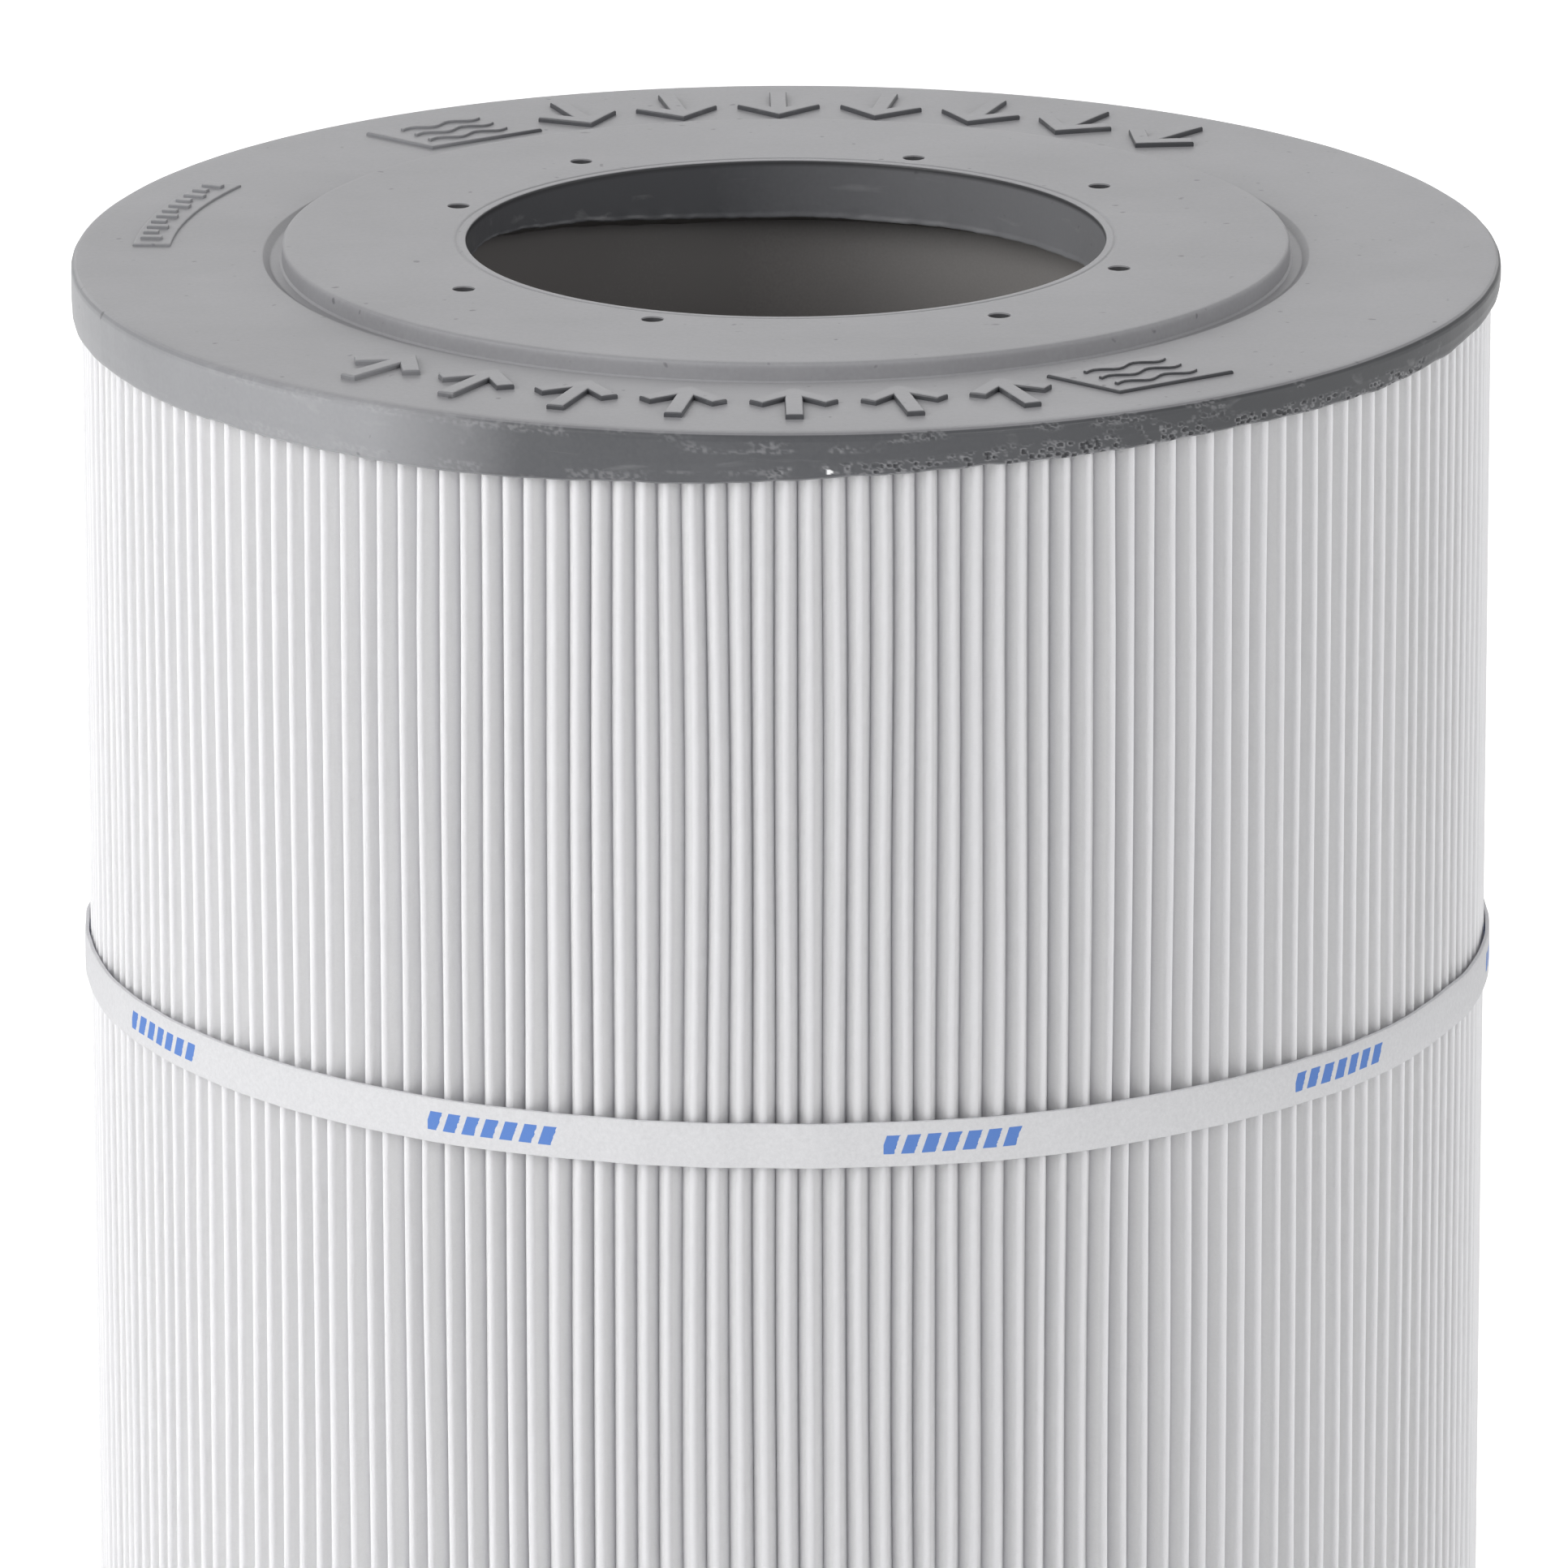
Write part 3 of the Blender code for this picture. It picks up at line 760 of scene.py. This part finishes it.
def pin_cutter():
    """Slightly tapered pegs, one where each locating pin stood in the mould."""
    pegs = []
    for radius, first in PIN_CIRCLES:
        for k in range(4):
            deselect_all()
            bpy.ops.mesh.primitive_cone_add(
                vertices=28,
                radius1=PIN_HOLE_RADIUS * 0.9,
                radius2=PIN_HOLE_RADIUS * 1.1,
                depth=2 * PIN_HOLE_DEPTH,
                location=polar(radius, math.radians(first + 90 * k)),
            )
            pegs.append(bpy.context.object)
    cutter = join(pegs, "pin_cutter")
    settle(cutter)
    return cutter


def end_cap(name, material):
    piece = turned(name, cap_outline(), CAP_SEGMENTS)
    move_points(piece, cast_unevenness)
    cut(piece, ring_marks(), "UNION")
    cut(piece, pin_cutter())
    scar_rim(piece)
    weigh = piece.modifiers.new("weighted", "WEIGHTED_NORMAL")
    weigh.keep_sharp = True
    smooth(piece, 40)
    apply_modifiers(piece)
    return piece


def both_caps(material):
    top = end_cap("top_cap_casting", material)
    only(top)
    bpy.ops.object.duplicate()
    bottom = bpy.context.object
    bottom.name = bottom.data.name = "bottom_cap_casting"
    top.location.z = LENGTH
    bottom.rotation_euler.x = math.pi
    for piece, node in ((top, "top_end_cap"), (bottom, "bottom_end_cap")):
        settle(piece)
        finish_piece(piece, "end_cap", material, node)


# ---------------------------------------------------------------- media


def spread(values, reach):
    """Blends each pleat's values with its neighbours' and keeps their size."""
    offsets = np.arange(-6, 7)
    weights = np.exp(-0.5 * (offsets / reach) ** 2)
    blended = sum(w * np.roll(values, o, axis=0) for w, o in zip(weights, offsets))
    return blended / np.sqrt((weights**2).sum())


def pleat_lean(seed=7):
    """Sideways shift of every pleat's tip at every row, in metres: neighbours lean together."""
    chance = np.random.default_rng(seed)
    heights = np.linspace(0, 1, MEDIA_ROWS + 1)
    lean = spread(chance.normal(0, 0.22, PLEATS)[:, None], 0.5) + 0 * heights
    for waves, size, reach in ((1.3, 0.22, 2.0), (3.1, 0.14, 1.2), (6.0, 0.07, 0.7)):
        phase = chance.uniform(0, 2 * np.pi, PLEATS)
        size_of = chance.normal(0, size, PLEATS)
        lean += spread(size_of[:, None] * np.cos(2 * np.pi * waves * heights + phase[:, None]), reach)
    held = np.minimum(1, np.minimum(heights, 1 - heights) * 14)
    lean *= 0.6 + 0.4 * held
    seam = np.abs(np.arange(PLEATS) - PLEATS / 4 - 0.5)
    lean *= np.clip(seam / 3, 0.1, 1)[:, None]
    return np.clip(lean, -0.6, 0.6) * MM


def pleat_section():
    """The corners of every pleat at every row, as (pleat, corner, row, xy), and how many are outside."""
    chance = np.random.default_rng(21)
    pitch = 2 * np.pi / PLEATS
    inner_radius = CORE_RADIUS + FIT_GAP
    middle = np.arange(PLEATS)[:, None] * pitch
    lean = pleat_lean()
    tip_radius = MEDIA_RADIUS - np.abs(spread(chance.normal(0, 0.1, (PLEATS, 1)), 1.0)) * MM + 0 * lean
    width = TIP_HALF_WIDTH * (1 + 0.1 * spread(chance.normal(0, 1, (PLEATS, 1)), 0.8))
    width = np.clip(width, 0.5 * MM, 0.75 * MM) + 0 * lean
    half_pitch = pitch / 2 * MEDIA_RADIUS

    def ring_of(radius, angle):
        return np.stack([radius * np.cos(angle), radius * np.sin(angle)], axis=-1)

    # a pleat reaches each way to just short of the line midway to its neighbour's tip
    touch = {}
    for sign in (-1, 1):
        touch[sign] = half_pitch + sign * (np.roll(lean, -sign, axis=0) - lean) / 2 - TOUCH_GAP / 2

    def flank(sign, share):
        """A corner on the flank: share 0 is where the round tip ends and 1 where the pleats touch."""
        aside = width + (touch[sign] - width) * (1 - (1 - share) ** 1.2)
        below = width + (TOUCH_DEPTH - width) * share
        return ring_of(tip_radius - below, middle + (lean + sign * aside) / MEDIA_RADIUS)

    outer = [flank(-1, 1), flank(-1, 0.4)]
    for turn in np.radians([-80, -42, 0, 42, 80]):
        radius = tip_radius - width * (1 - np.cos(turn))
        outer.append(ring_of(radius, middle + (lean + width * np.sin(turn)) / radius))
    outer += [flank(1, 0.4), flank(1, 1)]
    valley = middle + pitch / 2 + 0 * lean
    outer.append(ring_of(inner_radius + SHEET_THICKNESS, valley))
    inner = [ring_of(tip_radius - SHEET_THICKNESS, middle + lean / MEDIA_RADIUS)]
    inner += [ring_of(inner_radius, valley + sign * 0.6 * MM / inner_radius) for sign in (-1, 1)]
    return np.stack(outer + inner, axis=1), len(outer)


def media_sheet(material):
    """The folded sheet: two skins of corners per pleat, lofted up the rows and closed at both ends."""
    corners, n_outer = pleat_section()
    per_pleat = corners.shape[1]
    heights = np.linspace(media_low.z, media_high.z, MEDIA_ROWS + 1)
    points = np.concatenate(
        [corners, np.broadcast_to(heights[None, None, :, None], corners.shape[:3] + (1,))], axis=-1
    )
    points = points.transpose(2, 0, 1, 3).reshape(-1, 3)  # row by row
    ring = PLEATS * per_pleat
    ids = np.arange(ring).reshape(PLEATS, per_pleat)
    faces = []
    for row in range(MEDIA_ROWS):
        for skin, flip in ((ids[:, :n_outer], False), (ids[:, n_outer:], True)):
            a = row * ring + skin.reshape(-1)
            b = np.roll(a, -1)
            quads = np.stack([a, b, b + ring, a + ring], axis=-1)
            faces += (quads[:, ::-1] if flip else quads).tolist()
    top = MEDIA_ROWS * ring
    for pleat in range(PLEATS):
        skin = ids[pleat, : n_outer - 1].tolist()
        valley, inside_tip, root_left, root_right = ids[pleat, n_outer - 1 :].tolist()
        after = ids[(pleat + 1) % PLEATS].tolist()
        for face in (
            (*skin[2:7], inside_tip),
            (skin[6], skin[7], skin[8], valley, root_left, inside_tip),
            (valley, root_right, root_left),
            (valley, after[0], after[1], after[2], after[n_outer], root_right),
        ):
            faces.append(face[::-1])
            faces.append([corner + top for corner in face])
    mesh = bpy.data.meshes.new("pleated_sheet")
    mesh.from_pydata(points.tolist(), [], faces)
    mesh.validate()
    piece = bpy.data.objects.new("pleated_sheet", mesh)
    bpy.context.scene.collection.objects.link(piece)
    smooth(piece, 50)
    finish_piece(piece, "media", material, "pleated_media")
    return piece


def seam_bead(material):
    """A hot-melt strip that fills the valley between two pleats at the back."""
    middle = (bead_low + bead_high) / 2
    size = bead_high - bead_low
    deselect_all()
    bpy.ops.mesh.primitive_cube_add(size=1, location=middle)
    piece = bpy.context.object
    piece.name = piece.data.name = "seam_bead"
    piece.scale = (0.7 * MM, size.y * 0.9, size.z)
    settle(piece)
    bpy.ops.object.mode_set(mode="EDIT")
    bpy.ops.mesh.select_all(action="SELECT")
    bpy.ops.mesh.bevel(offset=0.2 * MM, segments=2, affect="EDGES")
    bpy.ops.object.mode_set(mode="OBJECT")
    smooth(piece)
    finish_piece(piece, "hot_melt", material, "media_seam_bead")


# ---------------------------------------------------------------- straps


def strap_piece(node, seed, material):
    low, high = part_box(node)
    middle = (low.z + high.z) / 2
    half = (high.z - low.z) / 2
    inner = MEDIA_RADIUS + 0.1 * MM
    outer = inner + STRAP_THICKNESS
    edge = 0.2 * MM
    outline = arc(outer - edge, half - edge, edge, 90, 0, 2)
    outline += [(outer + 0.05 * MM, half * 0.4), (outer + 0.05 * MM, -half * 0.4)]
    outline += arc(outer - edge, -half + edge, edge, 0, -90, 2)
    outline += [(inner, -half), (inner, half)]
    piece = turned(node + "_band", outline, 2 * PLEATS)
    weld = math.radians(75 + 7 * seed)

    def hang(point):
        angle = math.atan2(point.y, point.x)
        sway = Vector((0, 0, 0.25 * MM * wander(angle, 5, seed)))
        loose = 0.18 * MM * (1 + wander(angle, 24, seed + 3))
        after = (angle - weld) % (2 * math.pi)
        if math.hypot(point.x, point.y) > inner + 0.1 * MM:
            overlap = ease(after / 0.02) * ease((0.26 - after) / 0.05)
            loose += 0.4 * MM * overlap
        return sway + polar(loose, angle)

    move_points(piece, hang)
    piece.location.z = middle
    settle(piece)
    uv = piece.data.uv_layers.new(name="strap")
    for polygon in piece.data.polygons:
        centre = math.atan2(polygon.center.y, polygon.center.x)
        for loop in polygon.loop_indices:
            point = piece.data.vertices[piece.data.loops[loop].vertex_index].co
            angle = math.atan2(point.y, point.x)
            angle += 2 * math.pi * round((centre - angle) / (2 * math.pi))
            along = (angle + math.pi * 2 + math.radians(18.5 + 11 * (3 - seed))) * MEDIA_RADIUS
            uv.data[loop].uv = (along, point.z - middle)
    smooth(piece, 40)
    finish_piece(piece, "strap", material, node)


# ---------------------------------------------------------------- core


def core_piece(node, material, socket, spigot):
    low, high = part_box(node)
    inner = CORE_RADIUS - CORE_WALL
    length = high.z - low.z - (SPIGOT_HEIGHT if spigot else 0)
    open_height = length - 2 * END_BAND - (WINDOW_ROWS - 1) * HOOP_HEIGHT
    window = open_height / WINDOW_ROWS
    rows = []
    for row in range(WINDOW_ROWS):
        foot = END_BAND + row * (window + HOOP_HEIGHT)
        rows.append((foot, foot + window))
    levels = [z for row in rows for z in row]
    outline = [(CORE_RADIUS, 0)] + [(CORE_RADIUS, z) for z in levels] + [(CORE_RADIUS, length)]
    if spigot:
        outline += [(inner + SPIGOT_WALL, length), (inner + SPIGOT_WALL, length + SPIGOT_HEIGHT)]
        outline += [(inner, length + SPIGOT_HEIGHT)]
    outline += [(inner, length)] + [(inner, z) for z in reversed(levels)]
    if socket:
        mouth = inner + SPIGOT_WALL + FIT_GAP
        outline += [(inner, SPIGOT_HEIGHT), (mouth, SPIGOT_HEIGHT), (mouth, 0)]
    else:
        outline += [(inner, 0)]
    piece = turned(node + "_cage", outline, CORE_SEGMENTS)
    bpy.ops.object.mode_set(mode="EDIT")
    bpy.ops.mesh.select_mode(type="FACE")
    facet = 2 * math.pi / CORE_SEGMENTS
    for column in range(WINDOW_COLUMNS):
        for foot, head in rows:
            open_window(piece, column, facet, foot, head)
    bpy.ops.object.mode_set(mode="OBJECT")
    face_outwards(piece)
    piece.location.z = low.z
    settle(piece)
    ease_edges = piece.modifiers.new("eased", "BEVEL")
    ease_edges.width = 0.4 * MM
    ease_edges.segments = 2
    ease_edges.limit_method = "ANGLE"
    ease_edges.angle_limit = math.radians(50)
    apply_modifiers(piece)
    smooth(piece, 40)
    finish_piece(piece, "core", material, node)
    return piece


def open_window(piece, column, facet, foot, head):
    """Selects one window's faces on both skins and bridges them into an opening."""
    bpy.ops.object.mode_set(mode="OBJECT")
    first = column * CORE_SEGMENTS // WINDOW_COLUMNS
    for polygon in piece.data.polygons:
        centre = polygon.center
        at = (math.atan2(centre.y, centre.x) % (2 * math.pi)) / facet - first
        polygon.select = 0 < at < WINDOW_FACETS and foot < centre.z < head and abs(polygon.normal.z) < 0.5
    bpy.ops.object.mode_set(mode="EDIT")
    bpy.ops.mesh.bridge_edge_loops()


# ---------------------------------------------------------------- stage


def stage():
    deselect_all()
    bpy.ops.mesh.primitive_plane_add(size=80)
    floor = bpy.context.object
    floor.name = "floor"
    made, nodes, shader, place = new_material("pale_floor")
    shader.inputs["Base Color"].default_value = (0.93, 0.93, 0.93, 1)
    shader.inputs["Roughness"].default_value = 0.9
    shader.inputs["Emission Color"].default_value = (1, 1, 1, 1)
    seen = nodes.add("ShaderNodeLightPath").outputs["Is Camera Ray"]
    nodes.feed(shader.inputs["Emission Strength"], nodes.remap(seen, 0, 1, 0.22, 0.5))
    floor.data.materials.append(made)

    world = bpy.data.worlds.new("studio")
    world.use_nodes = True
    bpy.context.scene.world = world
    nodes = Nodes(world.node_tree)
    background = world.node_tree.nodes["Background"]
    background.inputs["Color"].default_value = (1, 1, 1, 1)
    seen = nodes.add("ShaderNodeLightPath").outputs["Is Camera Ray"]
    nodes.feed(background.inputs["Strength"], nodes.remap(seen, 0, 1, 0.40, 1.05))

    # name, azimuth from the front towards +X in degrees, distance, height, width, tall, power
    for name, azimuth, distance, height, width, tall, power in (
        ("key_left", -72, 2.3, 0.35, 3.6, 0.45, 12),
        ("upper_left", -54, 2.2, 1.75, 2.2, 1.6, 31),
        ("front_right", 40, 3.2, 1.9, 2.0, 1.0, 20),
        ("fill_right", 85, 2.4, 1.0, 2.0, 1.6, 8),
        ("back", 180, 2.6, 1.5, 3.0, 1.2, 20),
    ):
        light = bpy.data.lights.new(name, "AREA")
        light.shape = "RECTANGLE"
        light.size, light.size_y = width, tall
        light.energy = power
        lamp = bpy.data.objects.new(name, light)
        turn = math.radians(azimuth)
        lamp.location = (distance * math.sin(turn), -distance * math.cos(turn), height)
        aim = Vector((0, 0, LENGTH - 0.1)) - lamp.location
        lamp.rotation_euler = aim.to_track_quat("-Z", "Y").to_euler()
        bpy.context.scene.collection.objects.link(lamp)
        lamp.visible_camera = False


def camera():
    data = bpy.data.cameras.new("camera")
    data.sensor_width = 36
    data.lens = 334.6
    data.clip_end = 100
    made = bpy.data.objects.new("camera", data)
    pitch = 0.28322
    yaw = 0.000212
    roll = -0.002
    made.location = (0, -2.2465, LENGTH - DISC_STEP + 0.5656)
    turn = Matrix.Rotation(yaw, 3, "Z") @ Matrix.Rotation(math.pi / 2 - pitch, 3, "X")
    turn = turn @ Matrix.Rotation(roll, 3, "Z")
    made.rotation_euler = turn.to_euler()
    bpy.context.scene.collection.objects.link(made)
    bpy.context.scene.camera = made


def build():
    camera()
    stage()
    bpy.context.scene.view_settings.view_transform = "Standard"
    mottle = mottle_group()
    both_caps(urethane_material(mottle))
    media_sheet(media_material())
    seam_bead(hot_melt_material())
    webbing = strap_material()
    for seed, node in enumerate(STRAPS):
        strap_piece(node, seed, webbing)
    moulded = core_material(mottle)
    for number in range(1, 5):
        core_piece(f"core_section_{number}", moulded, socket=number > 1, spigot=number < 4)


build()
